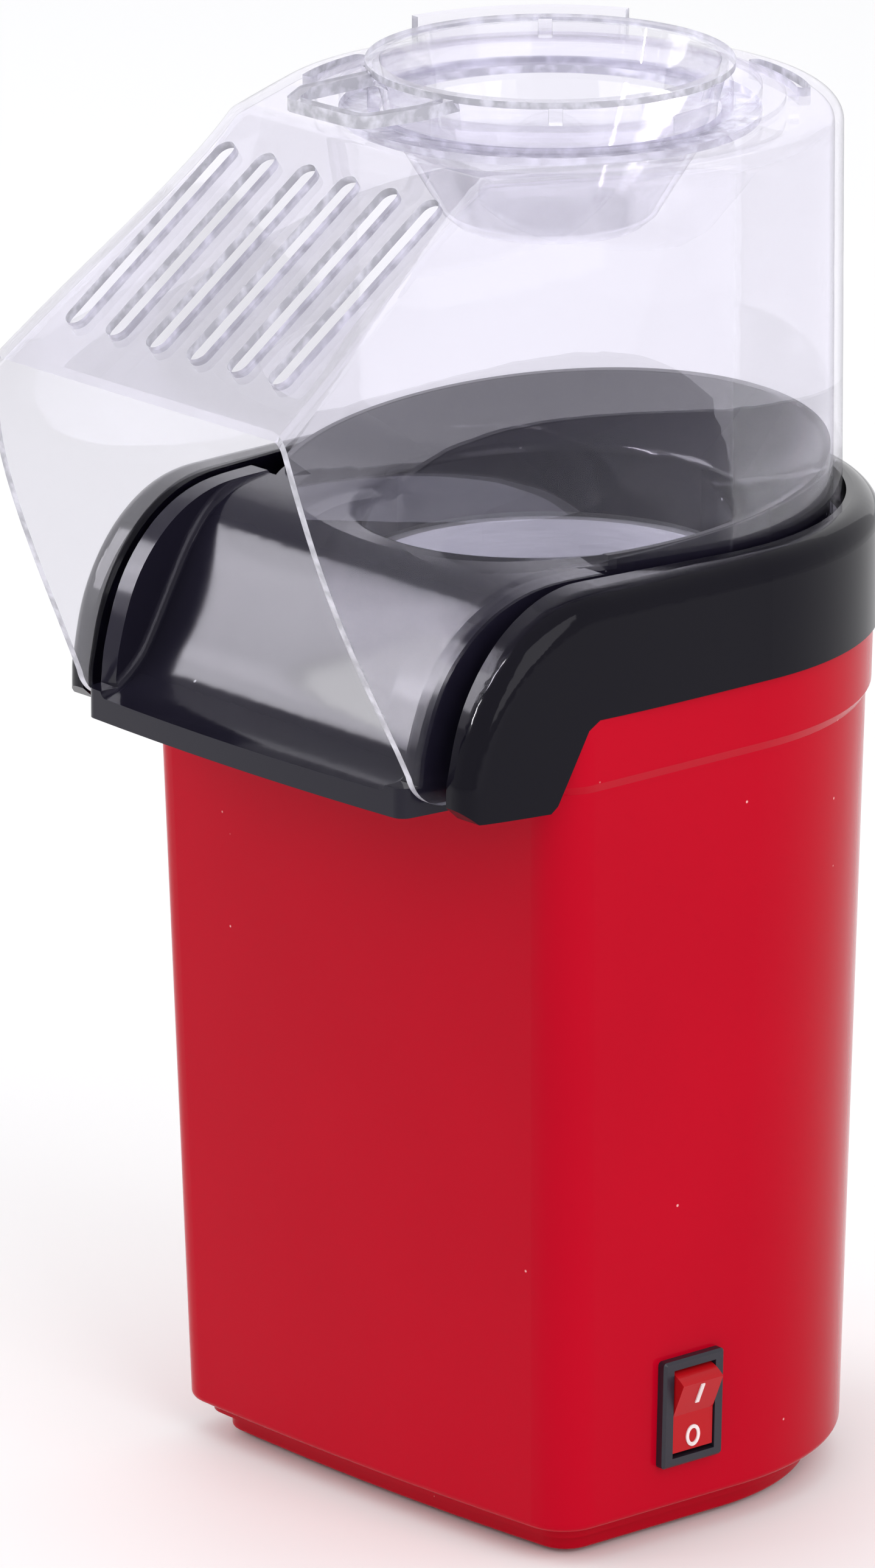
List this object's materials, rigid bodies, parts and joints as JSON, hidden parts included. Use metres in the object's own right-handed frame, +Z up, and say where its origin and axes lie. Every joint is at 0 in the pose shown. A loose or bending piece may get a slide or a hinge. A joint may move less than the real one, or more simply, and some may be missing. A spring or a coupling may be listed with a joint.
{
  "type": "hot-air popcorn maker",
  "caption": "Upright hot-air popcorn maker with a D-shaped body, a curved black chute, a clear lift-off hood with a sloped vented front, and a measuring cup set in its top.",
  "frame": {"origin": "on the floor, on the shared axis of the popping chamber, hood and motor; the plinth's underside is 1 mm above it, on its feet", "axes": "+Z up, -Y to the front where the chute pours, +X to the side that carries the switch"},
  "size_m": [0.1234, 0.1618, 0.2715],
  "materials": {
    "red_plastic": "gloss moulded red",
    "red_base": "gloss moulded red",
    "rubber_black": "matt rubber",
    "black_plastic": "gloss moulded black",
    "black_deck": "gloss moulded black, heat resistant",
    "clear_hood": "clear moulded",
    "clear_cup": "clear moulded",
    "switch_black": "fine matt black",
    "rocker_red": "translucent red",
    "mark_white": "moulded-in white",
    "brass_blade": "tinned brass",
    "bush_rubber": "matt rubber",
    "chamber_aluminium": "spun aluminium",
    "gasket_rubber": "silicone",
    "plated_steel": "zinc-plated sheet",
    "mica": "mica sheet",
    "coil_wire": "resistance wire",
    "bakelite": "phenolic",
    "fuse_metal": "bright metal",
    "grey_plastic": "heat-resistant grey",
    "fan_plastic": "natural nylon",
    "motor_steel": "nickel-plated can",
    "motor_plastic": "natural nylon",
    "bronze": "sintered bronze",
    "shaft_steel": "ground steel",
    "armature_iron": "laminations and copper winding",
    "magnet_ferrite": "ferrite",
    "board_green": "glass-epoxy board",
    "diode_black": "moulded epoxy",
    "screw_steel": "zinc-plated"
  },
  "bodies": {
    "base": {"body_shell": "red_plastic", "base_plate": "red_base", "rubber_feet": "rubber_black", "top_housing": "black_plastic", "chute": "black_deck", "switch_bezel": "switch_black", "switch_terminals": "brass_blade", "cord_bush": "bush_rubber", "popping_chamber": "chamber_aluminium", "chamber_gasket": "gasket_rubber", "heater_can": "plated_steel", "mica_former": "mica", "heating_coil": "coil_wire", "thermostat": "bakelite", "thermal_fuse": "fuse_metal", "fan_housing": "grey_plastic", "motor_can": "motor_steel", "motor_end_cap": "motor_plastic", "motor_bushings": "bronze", "motor_magnets": "magnet_ferrite", "rectifier_board": "board_green", "rectifier_diodes": "diode_black", "housing_screws": "screw_steel", "fan_screws": "screw_steel", "motor_screws": "screw_steel"},
    "hood": {"hood": "clear_hood"},
    "cup": {"measuring_cup": "clear_cup"},
    "rocker": {"switch_rocker": "rocker_red", "switch_marks": "mark_white"},
    "rotor": {"fan_impeller": "fan_plastic", "motor_shaft": "shaft_steel", "motor_armature": "armature_iron"}
  },
  "joints": [
    {"name": "hood_lift", "type": "slide", "parent": "base", "child": "hood", "axis": [0, 0, 1], "range_m": [0, 0.06]},
    {"name": "cup_lift", "type": "slide", "parent": "hood", "child": "cup", "axis": [0, 0, 1], "range_m": [0, 0.04]},
    {"name": "rocker_tilt", "type": "hinge", "parent": "base", "child": "rocker", "pos_m": [0.05467, -0.0149, 0.02623], "axis": [0, -1, 0], "range_deg": [0, 22]},
    {"name": "fan_spin", "type": "hinge", "parent": "base", "child": "rotor", "pos_m": [0, 0, 0], "axis": [0, 0, 1], "continuous": true}
  ]
}
